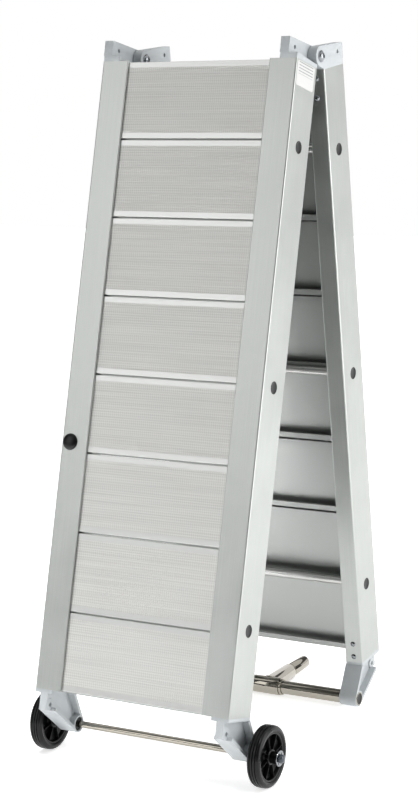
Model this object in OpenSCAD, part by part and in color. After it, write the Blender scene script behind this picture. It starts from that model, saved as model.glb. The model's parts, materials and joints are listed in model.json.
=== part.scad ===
// Folding boarding gangway, folded over its middle hinge and standing on its
// wheels and its swivel. Origin: on the floor, in the middle of the footprint.
// X runs along the hinge, +Y points from the wheeled half to the other half,
// +Z is up.

/* [Gangway] */
// Length of one side rail
rail_length = 1100; // [915:5:1320]
// Width over the two side rails
gangway_width = 382; // [318:2:460]
// Planks in each half
plank_count = 8; // [7:1:9]
// Half of the angle between the two halves as they stand
half_angle = 10.8; // [9:0.1:14]

/* [Side rails] */
// Depth of a rail, from the walking face to the underside
rail_depth = 77; // [70:1:90]
// Width of a rail's box
box_width = 34; // [28:0.2:42]
// Wall of a rail's box
rail_wall = 3; // [2:0.5:4]
// Reach of the lip that covers the plank ends
lip_reach = 18; // [12:1:24]
// Thickness of that lip
lip_thick = 3.4; // [2:0.2:4]
// Diameter of the access holes in a rail's outer wall
access_d = 22; // [18:1:26]
// Distance from the middle of a rail to its outer access holes
access_spread = 406; // [360:2:440]

/* [Planks] */
// Gap between two planks
plank_gap = 3; // [1:0.5:6]
// Depth of a plank
plank_depth = 24; // [18:1:28]
// Thickness of a plank's skin and edges
plank_wall = 2.6; // [1.8:0.2:3.4]
// Plain border along each edge of a plank
plank_border = 10; // [6:1:16]
// Distance from one tread rib to the next
rib_pitch = 4.4; // [3.6:0.2:7]

/* [Hinges] */
// Distance from a rail's end to the hinge axis, along the rail
pivot_rise = 23.4; // [19.5:0.1:28.1]
// Distance from the rail's underside to the hinge axis
pivot_drop = 9; // [6:0.5:14]
// Thickness of the base that closes a rail's end
hinge_base = 10; // [8:0.2:12]
// Diameter of the hinge bolt
hinge_bolt_d = 10; // [8:1:12]
// Diameter of the hole for a locking pin
lock_hole_d = 7; // [5:0.5:9]

/* [Brackets] */
// Distance from a rail's end to the axis of its bracket, along the rail
axis_fall = 62; // [54:1:72]
// Distance from the rail's underside to that axis
axis_drop = 23; // [18:1:30]
// Wall of a bracket's boss around the tube
boss_wall = 2.5; // [2:0.25:4.5]
// Diameter of the lashing hole in a bracket
lashing_hole_d = 8; // [6:1:12]

/* [Wheels] */
// Diameter of a tyre
wheel_d = 106; // [90:2:130]
// Width of a tyre
tyre_width = 24; // [20:1:32]
// Length of a wheel's hub
hub_length = 47; // [40:1:60]
// Diameter of the axle
axle_d = 12; // [10:1:14]

/* [Swivel] */
// Diameter of the cross tube and of the deck pin
tube_d = 25; // [20:0.5:30]
// Wall of the T sleeve around the cross tube
sleeve_wall = 4; // [3:0.25:6]
// Length of the T sleeve
sleeve_length = 56; // [46:2:80]
// Distance from the cross tube's axis to the step of the branch
branch_reach = 85; // [60:1:110]
// Distance from the cross tube's axis to the end of the deck pin
pin_reach = 152; // [120:1:170]

/* [Hidden] */
$fn = 64;
tiny = 0.01;
fit = 0.05;        // radial clearance of a running fit
apart = 0.3;       // clearance between pieces that move past each other
corner = 2.5;      // outer corner radius of a rail
half_width = gangway_width / 2;
deck_half = half_width - box_width;            // rail centre line to inner wall
plank_pitch = rail_length / plank_count;
plank_length = plank_pitch - plank_gap;        // along the rail
plank_top = lip_thick + 0.4;                   // depth of a plank's tread below the lip face
plank_bottom = plank_top + plank_depth;
plank_foot = 10;                               // width of a plank's turned-in foot
tongue_clear = 0.6;                            // between a plank's tongue and the next plank
ledge_thick = 2.6;
ledge_reach = lip_reach - 4;
mid_depth = rail_depth / 2;
access_at = [for (i = [-1:1]) rail_length / 2 + i * access_spread];
access_row = max(mid_depth, plank_bottom + ledge_thick + 7.8);
tie_d = 15;

// Hinge casting
pivot_depth = rail_depth + pivot_drop;
hinge_eye_r = 17.8;
stop_gap = 0.4;                                // left between the castings when flat
lug_height = 2 * pivot_rise - hinge_base;      // at the walking face
lug_width = box_width / 2 - apart;
lock_hole_depth = 21;
hinge_spigot = 66;
hinge_screws = [16, 49];
bolt_head_d = 17;

// Bracket
axis_depth = rail_depth + axis_drop;
bracket_flange = 6;
bracket_wall = 6;
web_thick = 9;
rim_width = 14;
rim_depth = 3;                                 // of the rim's edge below the walking face
rim_end = 34;                                  // where the rim stops, below the rail
lashing_depth = 16;
lashing_fall = 26.5;
bracket_spigot = 56;
foot_screws = [11, 36];
screw_d = 6;
screw_head_d = 10;

// Wheels and axle
wheel_r = wheel_d / 2;
hub_start = half_width + 2;
hub_end = hub_start + hub_length;
hub_mid = (hub_start + hub_end) / 2;
rim_r = wheel_r - 11;
washer_d = 27;
washer_thick = 1.6;
washer_at = hub_end + apart;
cap_length = 8;

// Swivel
sleeve_r = tube_d / 2 + sleeve_wall;
tube_overhang = 1;                             // cross tube beyond a bracket's outer face
ring_width = 5;
pin_neck_d = tube_d - 0.6;                     // of the pin inside the branch
pin_start = branch_reach + 9;                  // where the pin has its full diameter

// Stanchion socket in the front left rail
stanchion_at = 0.61 * rail_length;
stanchion_d = 29;

// Stance. The halves stand at half_angle to the line that halves them, and the
// wheels lift that line off the vertical by `tilt`.
foot_out = (rail_length + axis_fall + pivot_rise) * sin(half_angle)
         - (axis_depth - pivot_depth) * cos(half_angle);
tilt = asin((wheel_r - sleeve_r) / (2 * foot_out));
front_lean = half_angle + tilt;
rear_lean = half_angle - tilt;
foot_down = rail_length + axis_fall + pivot_rise;
foot_inward = axis_depth - pivot_depth;
axle_from_pivot = -foot_down * sin(front_lean) + foot_inward * cos(front_lean);
tube_from_pivot = foot_down * sin(rear_lean) - foot_inward * cos(rear_lean);
pivot_z = wheel_r + foot_down * cos(front_lean) + foot_inward * sin(front_lean);
function front_reach(depth, fall) = (fall + pivot_rise) * sin(front_lean)
                                  + (pivot_depth - depth) * cos(front_lean);
foremost = max(front_reach(0, rail_length + bracket_flange), front_reach(rim_depth, rail_length + rim_end),
               wheel_r - axle_from_pivot);
pivot_y = (foremost - tube_from_pivot - pin_reach) / 2;
axle_y = pivot_y + axle_from_pivot;
tube_y = pivot_y + tube_from_pivot;

// ---------- frames ----------
// Each half is drawn in its own frame: X across, +Y from the walking face to the
// underside, -Z down the rail, with the rail's hinge end at Z = 0. The rear half is
// turned about, so what is drawn on its right stands on the left of the object.

module front_half() {
    translate([0, pivot_y, pivot_z]) rotate([-front_lean, 0, 0])
        translate([0, -pivot_depth, -pivot_rise]) children();
}

module rear_half() {
    translate([0, pivot_y, pivot_z]) rotate([0, 0, 180]) rotate([-rear_lean, 0, 0])
        translate([0, -pivot_depth, -pivot_rise]) children();
}

// Turns a drawing in depth (X) and height (Y) into a plate across the object,
// from x0 to x1.
module across(x0, x1) {
    translate([x0, 0, 0]) rotate([90, 0, 90]) linear_extrude(x1 - x0) children();
}

module rod_x(d, x0, x1) {
    translate([x0, 0, 0]) rotate([0, 90, 0]) cylinder(d = d, h = x1 - x0);
}

module rod_y(d, y0, y1) {
    translate([0, y0, 0]) rotate([-90, 0, 0]) cylinder(d = d, h = y1 - y0);
}

module rounded_square(size, r) {
    translate([r, 0]) square([size[0] - 2 * r, size[1]]);
    translate([0, r]) square([size[0], size[1] - 2 * r]);
    for (x = [r, size[0] - r], y = [r, size[1] - r]) translate([x, y]) circle(r);
}

// Domed disc turned about X: its rim is `edge` thick and its middle `high`.
module dome_x(d, edge, high) {
    r = d / 2;
    ball = (r * r + (high - edge) * (high - edge)) / (2 * (high - edge));
    rotate([0, 90, 0]) rotate_extrude() intersection() {
        square([r, high]);
        translate([0, high - ball]) circle(ball, $fn = 128);
    }
}

// Hexagon socket sunk into a head, looking along X from x0.
module socket_x(across_flats, x0) {
    translate([x0, 0, 0]) rotate([0, 90, 0]) cylinder(d = across_flats / cos(30), h = 9, $fn = 6);
}

// Point where a line from p meets the circle of radius r about c, on the left
// (side = 1) or on the right (side = -1) as seen from p. The line dips a hair
// inside the circle, so that flat and round faces cross and don't just touch.
function tangent(p, c, r, side) =
    let (dip = r - 0.15, d = norm(c - p), a = atan2(c[1] - p[1], c[0] - p[0]) + side * asin(dip / d))
    p + sqrt(d * d - dip * dip) * [cos(a), sin(a)];

// ---------- side rails ----------

// Section of a right-hand rail: its outer face at X = half_width.
module rail_section() {
    difference() {
        union() {
            translate([deck_half, 0]) rounded_square([box_width, rail_depth], corner);
            translate([deck_half - lip_reach + lip_thick / 2, 0])
                square([lip_reach + corner, lip_thick]);
            translate([deck_half - lip_reach + lip_thick / 2, lip_thick / 2]) circle(lip_thick / 2);
            translate([deck_half - ledge_reach, plank_bottom])
                square([ledge_reach + rail_wall, ledge_thick]);
        }
        translate([deck_half + rail_wall, rail_wall])
            rounded_square([box_width - 2 * rail_wall, rail_depth - 2 * rail_wall], 1);
    }
}

module rail_holes() {
    for (u = access_at) translate([0, access_row, -u]) {
        rod_x(access_d, half_width - rail_wall - 1, half_width + 1);
        rod_x(8.4, deck_half - 1, deck_half + rail_wall + 1);
    }
    for (u = concat(hinge_screws, [for (s = foot_screws) rail_length - s]))
        translate([half_width - box_width / 2, 0, -u])
            rod_y(screw_d + 0.4, rail_depth - rail_wall - 1, rail_depth + 1);
}

module stanchion_hole() {
    translate([half_width - box_width / 2, 0, -stanchion_at]) rod_y(25, -1, rail_wall + 1);
}

module rail(stanchion = false) {
    color("#d3d4d2") difference() {
        translate([0, 0, -rail_length]) linear_extrude(rail_length) rail_section();
        rail_holes();
        if (stanchion) stanchion_hole();
    }
}

// A rail of the other hand.
module left_hand() { mirror([1, 0, 0]) children(); }

module tie_tubes() {
    color("#c9c9c6") for (u = access_at) translate([0, access_row, -u]) difference() {
        rod_x(tie_d, -deck_half, deck_half);
        for (s = [-1, 1]) translate([s * deck_half, 0, 0]) rod_x(8, -30, 30);
    }
}

module tie_bolts() {
    color("#8d9092") for (u = access_at, s = [0, 1]) mirror([s, 0, 0])
        translate([deck_half, access_row, -u]) difference() {
            union() {
                rod_x(8, -24, rail_wall);
                rod_x(13, rail_wall, rail_wall + 8);
            }
            socket_x(6, rail_wall + 3);
        }
}

module rail_plugs() {
    color("#1b1b1c") for (u = access_at, s = [0, 1]) mirror([s, 0, 0])
        translate([half_width, access_row, -u]) difference() {
            union() {
                rod_x(access_d, -rail_wall, 0.4);
                rod_x(access_d - 1.6, -rail_wall - 5, -rail_wall);
            }
            rod_x(access_d - 5, -rail_wall - 6, -1.6);
        }
}

module casting_screws() {
    for (u = concat(hinge_screws, [for (s = foot_screws) rail_length - s]), s = [0, 1])
        mirror([s, 0, 0]) translate([half_width - box_width / 2, rail_depth, -u])
            rotate([0, 0, 90]) color("#b9bcbf") difference() {
                union() {
                    rod_x(screw_d, -16, 0.5);
                    dome_x(screw_head_d, 0.4, 3.2);
                }
                socket_x(4, 1.2);
            }
}

// ---------- planks ----------

// Section of a plank in height (X) and depth (Y), its upper edge at X = 0. A tongue
// on its lower edge closes the joint to the next plank.
module plank_section() {
    rib_span = plank_length - 2 * plank_border;
    rib_count = floor(rib_span / rib_pitch);
    rib_start = (plank_length - (rib_count - 0.5) * rib_pitch) / 2;
    rib_high = 0.8;
    difference() {
        rounded_square([plank_length, plank_depth], 0.9);
        translate([plank_wall, plank_wall + rib_high])
            square([plank_length - 2 * plank_wall, plank_depth - 2 * plank_wall - rib_high]);
        translate([plank_foot, plank_depth / 2]) square([plank_length - 2 * plank_foot, plank_depth]);
        translate([plank_border, -1]) square([rib_span, 1 + rib_high]);
    }
    for (i = [0:rib_count - 1]) translate([rib_start + i * rib_pitch, 0])
        square([rib_pitch / 2, plank_wall]);
    translate([plank_length - plank_wall, plank_depth / 3])
        square([plank_wall + plank_gap - tongue_clear, 2]);
}

module plank(i) {
    color("#cfd0ce") translate([-deck_half + 0.6, plank_top, -(i - 1) * plank_pitch - plank_gap / 2])
        rotate([0, 90, 0]) linear_extrude(2 * deck_half - 1.2) plank_section();
}

// ---------- hinge castings ----------
// Drawn for a rail whose box runs from X = 0 to X = box_width. All four are the
// same casting: the lug stands on the half nearer X = 0.

module spigot(length) {
    gap = rail_wall + apart;
    inner = 5;
    difference() {
        translate([gap, gap, 0])
            linear_extrude(length) square([box_width - 2 * gap, rail_depth - 2 * gap]);
        for (y = [gap + inner, rail_depth / 2 + inner / 2]) translate([gap + inner, y, -1])
            cube([box_width - 2 * gap - 2 * inner, (rail_depth - 2 * gap - 3 * inner) / 2, length + 2]);
    }
}

eye = [pivot_depth, pivot_rise];
lug_top = [0, lug_height];
lug_touch = tangent(lug_top, eye, hinge_eye_r, 1);
lug_heel = [rail_depth - corner, 0];

module lug_outline() {
    polygon([[corner, 0], [corner, hinge_base], [0, hinge_base], lug_top, lug_touch, eye,
             tangent(lug_heel, eye, hinge_eye_r, -1), lug_heel]);
    translate(eye) circle(hinge_eye_r);
}

// Everything above the line that the other casting's lug lands on when the
// gangway lies flat.
module landing_outline() {
    floor_of = function (z) 2 * pivot_rise - z - stop_gap;
    polygon([[-1, floor_of(lug_top[1])], [lug_touch[0], floor_of(lug_touch[1])],
             [lug_touch[0], lug_height * 2], [-1, lug_height * 2]]);
}

module hinge_casting() {
    color("#c4cbd0") difference() {
        union() {
            linear_extrude(hinge_base) rounded_square([box_width, rail_depth], corner);
            across(0, lug_width) lug_outline();
            translate([0, 0, -hinge_spigot]) spigot(hinge_spigot + tiny);
        }
        across(box_width / 2, box_width + 1) landing_outline();
        translate([0, pivot_depth, pivot_rise])
            rod_x(hinge_bolt_d + 2 * fit, -1, box_width);
        translate([0, lock_hole_depth, pivot_rise]) rod_x(lock_hole_d, -1, box_width);
        for (u = hinge_screws) translate([box_width / 2, 0, -u])
            rod_y(screw_d, rail_depth - 20, rail_depth + 1);
    }
}

module hinge_bolts() {
    length = box_width + 8;
    for (x = [-half_width, deck_half]) translate([x, pivot_depth, pivot_rise])
        color("#bfc2c5") difference() {
            union() {
                rod_x(hinge_bolt_d, -7.4, box_width + apart);
                translate([box_width + apart, 0, 0]) {
                    rod_x(bolt_head_d + 3, 0, 1.2);
                    translate([1, 0, 0]) dome_x(bolt_head_d, 0.8, 5.2);
                }
            }
            socket_x(6, box_width + 3);
        }
}

module hinge_nuts() {
    for (x = [-half_width, deck_half]) translate([x, pivot_depth, pivot_rise])
        color("#bfc2c5") difference() {
            rotate([0, 90, 0]) translate([0, 0, -8]) cylinder(d = 18.4, h = 8, $fn = 6);
            rod_x(hinge_bolt_d, -9, 1);
        }
}

// ---------- wheel and foot brackets ----------
// Drawn like the hinge castings, below a rail's foot end at Z = 0.

axis_point = [axis_depth, -axis_fall];
boss_r = tube_d / 2 + boss_wall;
slope_start = [17.5, -rim_end - 3];
slope_touch = tangent(slope_start, axis_point, boss_r, -1);
back_start = [rail_depth, -bracket_flange + 1];
back_touch = tangent(back_start, axis_point, boss_r, 1);

module web_outline() {
    polygon([[rim_depth, 0], [rail_depth, 0], back_start, back_touch, axis_point, slope_touch,
             slope_start, [rim_depth, -rim_end]]);
}

// Straight bar of thickness t whose outer edge runs from a to b, with the bar on
// the left of that line.
module edge_bar(a, b, t) {
    side = [a[1] - b[1], b[0] - a[0]] * t / norm(b - a);
    polygon([a, b, b + side, a + side]);
}

module bracket() {
    web_side = (box_width - web_thick) / 2;
    rim_side = (box_width - rim_width) / 2;
    color("#c4cbd0") difference() {
        union() {
            translate([0, 0, -bracket_flange])
                linear_extrude(bracket_flange) rounded_square([box_width, rail_depth], corner);
            translate([0, 0, -tiny]) spigot(bracket_spigot);
            across(web_side, web_side + web_thick) web_outline();
            across(rim_side, rim_side + rim_width)
                translate([rim_depth, -rim_end]) square([7, rim_end]);
            across(0, box_width) {
                edge_bar(slope_start, slope_touch, bracket_wall);
                edge_bar(back_touch, back_start, bracket_wall);
                translate(axis_point) circle(boss_r);
            }
            translate([0, lashing_depth, -lashing_fall]) rod_x(21, rim_side, rim_side + rim_width);
        }
        translate([0, axis_depth, -axis_fall]) rod_x(tube_d, -1, box_width + 1);
        translate([0, lashing_depth, -lashing_fall]) rod_x(lashing_hole_d, -1, box_width + 1);
        for (u = foot_screws) translate([box_width / 2, 0, u])
            rod_y(screw_d, rail_depth - 20, rail_depth + 1);
    }
}

// ---------- wheels ----------

// Ring turned about X, from a drawing of radius (X) and width (Y).
module turned_x(x0) {
    translate([x0, 0, 0]) rotate([0, 90, 0]) rotate_extrude($fn = 96) children();
}

module tyre() {
    groove = 1.2;
    shoulder = 5;
    color("#222223") turned_x(hub_mid - tyre_width / 2) difference() {
        union() {
            translate([rim_r, 0]) square([wheel_r - rim_r - shoulder, tyre_width]);
            translate([rim_r, shoulder]) square([wheel_r - rim_r, tyre_width - 2 * shoulder]);
            for (y = [shoulder, tyre_width - shoulder]) translate([wheel_r - shoulder, y]) circle(shoulder);
        }
        for (i = [-1:1]) translate([wheel_r, tyre_width / 2 + i * 5]) circle(groove, $fn = 24);
    }
}

module rim() {
    ring_width = tyre_width - 4;
    color("#161617") difference() {
        union() {
            turned_x(hub_mid - ring_width / 2) {
                translate([rim_r - 3.4, 0]) square([3.4, ring_width]);
                translate([14, ring_width / 2 - 1.5]) square([rim_r - 15, 3]);
            }
            rod_x(26, hub_mid - ring_width / 2, hub_mid + ring_width / 2);
            rod_x(21, hub_start, hub_end);
            for (i = [0:7]) rotate([i * 45 + 12, 0, 0])
                translate([hub_mid - ring_width / 2 + 3, -1, 11]) cube([ring_width - 6, 2, rim_r - 13]);
        }
        rod_x(axle_d + 2 * fit, hub_start - 1, hub_end + 1);
    }
}

module at_axle() { translate([0, axle_y, wheel_r]) children(); }

module wheel_axle() {
    color("#c3bfb8") at_axle() rod_x(axle_d, -washer_at - 7, washer_at + 7);
}

module axle_bushes() {
    color("#1c1c1d") at_axle() for (s = [0, 1]) mirror([s, 0, 0]) difference() {
        rod_x(tube_d, deck_half + 3, half_width);
        rod_x(axle_d, deck_half - 1, half_width + 1);
    }
}

module axle_washers() {
    color("#c9c9c9") at_axle() for (s = [0, 1]) mirror([s, 0, 0]) difference() {
        rod_x(washer_d, washer_at, washer_at + washer_thick);
        rod_x(axle_d, washer_at - 1, washer_at + 3);
        for (i = [0:5]) rotate([i * 60 + 20, 0, 0])
            translate([washer_at - 1, -1.2, axle_d / 2 + 1]) cube([4, 2.4, 4]);
    }
}

module axle_caps() {
    color("#4a5058") at_axle() for (s = [0, 1]) mirror([s, 0, 0])
        translate([washer_at + washer_thick, 0, 0]) difference() {
            dome_x(axle_d + 2.4, cap_length - 2, cap_length);
            rod_x(axle_d, -1, 7 - washer_thick);
        }
}

// ---------- fittings of the front half ----------

module stanchion_socket() {
    color("#b4b6b6") translate([-half_width + box_width / 2, 0, -stanchion_at]) difference() {
        rod_y(box_width - 2 * rail_wall - 0.6, rail_wall, rail_depth - rail_wall);
        rod_y(22, rail_wall - 1, rail_depth - rail_wall - 4);
    }
}

module stanchion_plug() {
    color("#161617") translate([-half_width + box_width / 2, 0, -stanchion_at]) {
        rotate([0, 0, -90]) dome_x(stanchion_d, 1, 5);
        rod_y(21.9, -1, 16);
    }
}

module maker_plate() {
    color("#f4f4f2") translate([half_width, 4, -44]) cube([0.4, 64, 42]);
}

// ---------- swivel ----------

module at_tube() { translate([0, tube_y, sleeve_r]) children(); }

module cross_tube() {
    color("#c3bfb8") at_tube() difference() {
        rod_x(tube_d, -half_width - tube_overhang, half_width + tube_overhang);
        rod_x(tube_d - 4, -half_width - 9, half_width + 9);
    }
}

module tube_caps() {
    color("#2c2d2f") at_tube() for (s = [0, 1]) mirror([s, 0, 0])
        rod_x(tube_d - 4, half_width - 12, half_width + tube_overhang + 0.2);
}

module stop_rings() {
    color("#b7b4ae") at_tube() for (s = [0, 1]) mirror([s, 0, 0]) difference() {
        rod_x(2 * sleeve_r - 3, sleeve_length / 2 + apart, sleeve_length / 2 + apart + ring_width);
        rod_x(tube_d, 0, sleeve_length);
    }
}

module swivel_sleeve() {
    color("#c3bfb8") at_tube() difference() {
        union() {
            rod_x(2 * sleeve_r, -sleeve_length / 2, sleeve_length / 2);
            rod_y(2 * sleeve_r - 0.6, 0, branch_reach);
        }
        rod_x(tube_d + 2 * fit, -sleeve_length, sleeve_length);
        rod_y(pin_neck_d, tube_d / 2 + 6, branch_reach + 1);
    }
}

module deck_pin() {
    color("#c3bfb8") at_tube() rotate([-90, 0, 0]) {
        translate([0, 0, tube_d / 2 + 6]) cylinder(d = pin_neck_d, h = pin_start - tube_d / 2 - 5);
        translate([0, 0, pin_start]) cylinder(d = tube_d, h = pin_reach - 1 - pin_start);
        translate([0, 0, pin_reach - 1]) cylinder(d1 = tube_d, d2 = tube_d - 2, h = 1);
    }
}

// ---------- the assembly ----------

module at_right_rail() { translate([deck_half, 0, 0]) children(); }
module at_left_rail() { translate([-half_width, 0, 0]) children(); }
module at_foot() { translate([0, 0, -rail_length]) children(); }

front_half() left_hand() rail(stanchion = true);  // front_rail_left
front_half() rail();  // front_rail_right
for (i = [1:plank_count]) front_half() plank(i);
front_half() tie_tubes();  // front_tie_tubes
front_half() tie_bolts();  // front_tie_bolts
front_half() rail_plugs();  // front_rail_plugs
front_half() at_left_rail() hinge_casting();  // front_hinge_left
front_half() at_right_rail() hinge_casting();  // front_hinge_right
front_half() at_left_rail() at_foot() bracket();  // wheel_bracket_left
front_half() at_right_rail() at_foot() bracket();  // wheel_bracket_right
front_half() casting_screws();  // front_casting_screws
wheel_axle();
axle_bushes();
axle_washers();
axle_caps();
front_half() stanchion_socket();
front_half() stanchion_plug();
front_half() maker_plate();
front_half() hinge_bolts();
front_half() hinge_nuts();
at_axle() left_hand() tyre();  // tyre_left
at_axle() left_hand() rim();  // rim_left
at_axle() tyre();  // tyre_right
at_axle() rim();  // rim_right
rear_half() rail();  // rear_rail_left
rear_half() left_hand() rail();  // rear_rail_right
for (i = [1:plank_count]) rear_half() plank(i);
rear_half() tie_tubes();  // rear_tie_tubes
rear_half() tie_bolts();  // rear_tie_bolts
rear_half() rail_plugs();  // rear_rail_plugs
rear_half() at_right_rail() hinge_casting();  // rear_hinge_left
rear_half() at_left_rail() hinge_casting();  // rear_hinge_right
rear_half() at_right_rail() at_foot() bracket();  // foot_bracket_left
rear_half() at_left_rail() at_foot() bracket();  // foot_bracket_right
rear_half() casting_screws();  // rear_casting_screws
cross_tube();
tube_caps();
stop_rings();
swivel_sleeve();
deck_pin();
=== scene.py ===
# %% [markdown]
# # A folding boarding gangway, standing folded
#
# The gangway is two ladders of box-section aluminium rails and tread planks, hinged at the
# top like an A-frame. One half rolls on two small wheels. The other ends in a stainless
# cross tube with a swivelling deck pin. The exact solids come from the CAD model, which
# is loaded as a fixed frame. This lesson gives them their finishes and remakes the pieces
# whose looks live in soft edges, grooves and ribs.

# %% Load the frame
import bpy
import bmesh
import json
from math import atan2, cos, degrees, pi, radians, sin, sqrt
from mathutils import Matrix, Vector

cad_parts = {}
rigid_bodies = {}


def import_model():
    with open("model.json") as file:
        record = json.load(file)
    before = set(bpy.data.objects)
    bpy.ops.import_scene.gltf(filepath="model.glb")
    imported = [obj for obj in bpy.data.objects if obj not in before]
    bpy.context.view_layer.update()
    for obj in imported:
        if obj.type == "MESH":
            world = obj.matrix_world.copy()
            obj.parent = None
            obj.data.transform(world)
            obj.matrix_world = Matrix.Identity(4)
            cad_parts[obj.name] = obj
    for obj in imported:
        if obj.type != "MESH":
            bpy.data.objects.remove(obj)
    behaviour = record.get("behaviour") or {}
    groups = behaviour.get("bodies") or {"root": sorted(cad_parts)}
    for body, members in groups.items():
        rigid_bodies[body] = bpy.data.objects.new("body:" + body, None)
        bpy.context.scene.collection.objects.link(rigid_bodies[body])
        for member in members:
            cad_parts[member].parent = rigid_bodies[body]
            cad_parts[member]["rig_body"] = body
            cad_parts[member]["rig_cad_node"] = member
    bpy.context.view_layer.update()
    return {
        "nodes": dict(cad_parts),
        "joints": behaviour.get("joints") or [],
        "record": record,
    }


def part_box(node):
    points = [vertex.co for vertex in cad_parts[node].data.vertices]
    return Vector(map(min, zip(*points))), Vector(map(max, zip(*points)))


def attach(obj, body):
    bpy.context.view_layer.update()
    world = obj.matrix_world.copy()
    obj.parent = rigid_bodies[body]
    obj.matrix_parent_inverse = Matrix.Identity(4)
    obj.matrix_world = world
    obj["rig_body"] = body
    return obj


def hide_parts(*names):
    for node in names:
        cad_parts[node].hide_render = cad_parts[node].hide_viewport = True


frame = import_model()
nodes, record = frame["nodes"], frame["record"]

# %% [markdown]
# ## Where things are
#
# Each half leans by its own angle. A rail is a straight bar, so its box in Y and Z gives
# that angle back. With the hinge's place from the record, that makes one matrix per half:
# it takes a drawing with X across, +Y from the tread to the underside and -Z down the rail
# to where the half stands. Pieces are then modelled square to the axes and turned once.

# %% The two halves' own frames
MM = 0.001
RAIL_LENGTH, RAIL_DEPTH, BOX_WIDTH = 1100 * MM, 77 * MM, 34 * MM
PIVOT_RISE, PIVOT_DEPTH = 23.4 * MM, 86 * MM
JOINT = {j["name"]: Vector(j["pos_m"]) for j in frame["joints"]}


def lean_of(rail):
    low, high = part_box(rail)
    deep, tall = high.y - low.y, high.z - low.z
    return atan2(RAIL_LENGTH * deep - RAIL_DEPTH * tall, RAIL_LENGTH * tall - RAIL_DEPTH * deep)


FRONT_LEAN, REAR_LEAN = lean_of("front_rail_right"), lean_of("rear_rail_right")
TO_RAIL_END = Matrix.Translation((0, -PIVOT_DEPTH, -PIVOT_RISE))
AT_HINGE = Matrix.Translation(JOINT["fold"])
FRONT = AT_HINGE @ Matrix.Rotation(-FRONT_LEAN, 4, "X") @ TO_RAIL_END
REAR = AT_HINGE @ Matrix.Rotation(pi, 4, "Z") @ Matrix.Rotation(-REAR_LEAN, 4, "X") @ TO_RAIL_END
HALF_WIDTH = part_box("front_rail_right")[1].x
DECK_HALF = HALF_WIDTH - BOX_WIDTH
print("leans, degrees:", round(degrees(FRONT_LEAN), 3), round(degrees(REAR_LEAN), 3))

# %% [markdown]
# ## Camera
#
# The view is from the front right, a little above the middle of the rails, with a long
# lens, so the two rails stay nearly parallel.

# %% Camera
CAMERA_AT = (1.70935, -3.00672, 1.26125)
CAMERA_TURN = (79.194, 1.7827, 29.4267)
CAMERA_LENS = 89.22
camera_data = bpy.data.cameras.new("camera")
camera_data.lens = CAMERA_LENS
camera_data.sensor_width = 36
camera = bpy.data.objects.new("camera", camera_data)
camera.location = CAMERA_AT
camera.rotation_euler = [radians(a) for a in CAMERA_TURN]
bpy.context.scene.collection.objects.link(camera)
bpy.context.scene.camera = camera
print("camera at", CAMERA_AT, "lens", CAMERA_LENS, "mm")

# %% [markdown]
# ## Nodes and colours
#
# Colours are picked as sRGB hex, as in a paint chart, and one function turns them to the
# linear values that shaders work in. One more function adds a node with its settings, and
# links what it is given.

# %% Colour and node helpers


def linear(hex_colour):
    parts = [int(hex_colour[i:i + 2], 16) / 255 for i in (1, 3, 5)]
    return [*((c / 12.92 if c <= 0.04045 else ((c + 0.055) / 1.055) ** 2.4) for c in parts), 1]


def add(tree, kind, sockets={}, **settings):
    """Adds a node. A socket given another node's output is linked, and any other value is set."""
    made = tree.nodes.new(kind)
    for name, value in settings.items():
        setattr(made, name, value)
    for name, value in sockets.items():
        if isinstance(value, bpy.types.NodeSocket):
            tree.links.new(value, made.inputs[name])
        else:
            made.inputs[name].default_value = value
    return made


def start(name, colour, metallic, roughness, **sockets):
    """A new material with one shader, whose uniform values sit on its own sockets."""
    made = bpy.data.materials.new(name)
    made.use_nodes = True
    tree = made.node_tree
    tree.nodes.clear()
    values = {"Base Color": linear(colour), "Metallic": metallic, "Roughness": roughness}
    shader = add(tree, "ShaderNodeBsdfPrincipled", {**values, **sockets})
    add(tree, "ShaderNodeOutputMaterial", {"Surface": shader.outputs["BSDF"]})
    return made, tree, shader


def local_mapping(half, scale=(1, 1, 1)):
    """Location and turn that take world metres to a half's own frame, for a Mapping node."""
    back = half.inverted()
    return {"Location": [s * v for s, v in zip(scale, back.to_translation())],
            "Rotation": back.to_euler(), "Scale": scale}


HALVES = {"front": FRONT, "rear": REAR}

# %% [markdown]
# ## Anodised aluminium for the rails
#
# The rails are extruded, then etched and anodised: a satin grey metal with very fine lines
# along the rail from the die, and a faint cloudiness from the etch. The lines are drawn as
# noise stretched along the rail. Real die lines are about 0.1 mm wide, too fine to show,
# so they are drawn 1 mm wide. Each half has its own copy, because the stretch follows the
# rail's lean.

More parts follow.
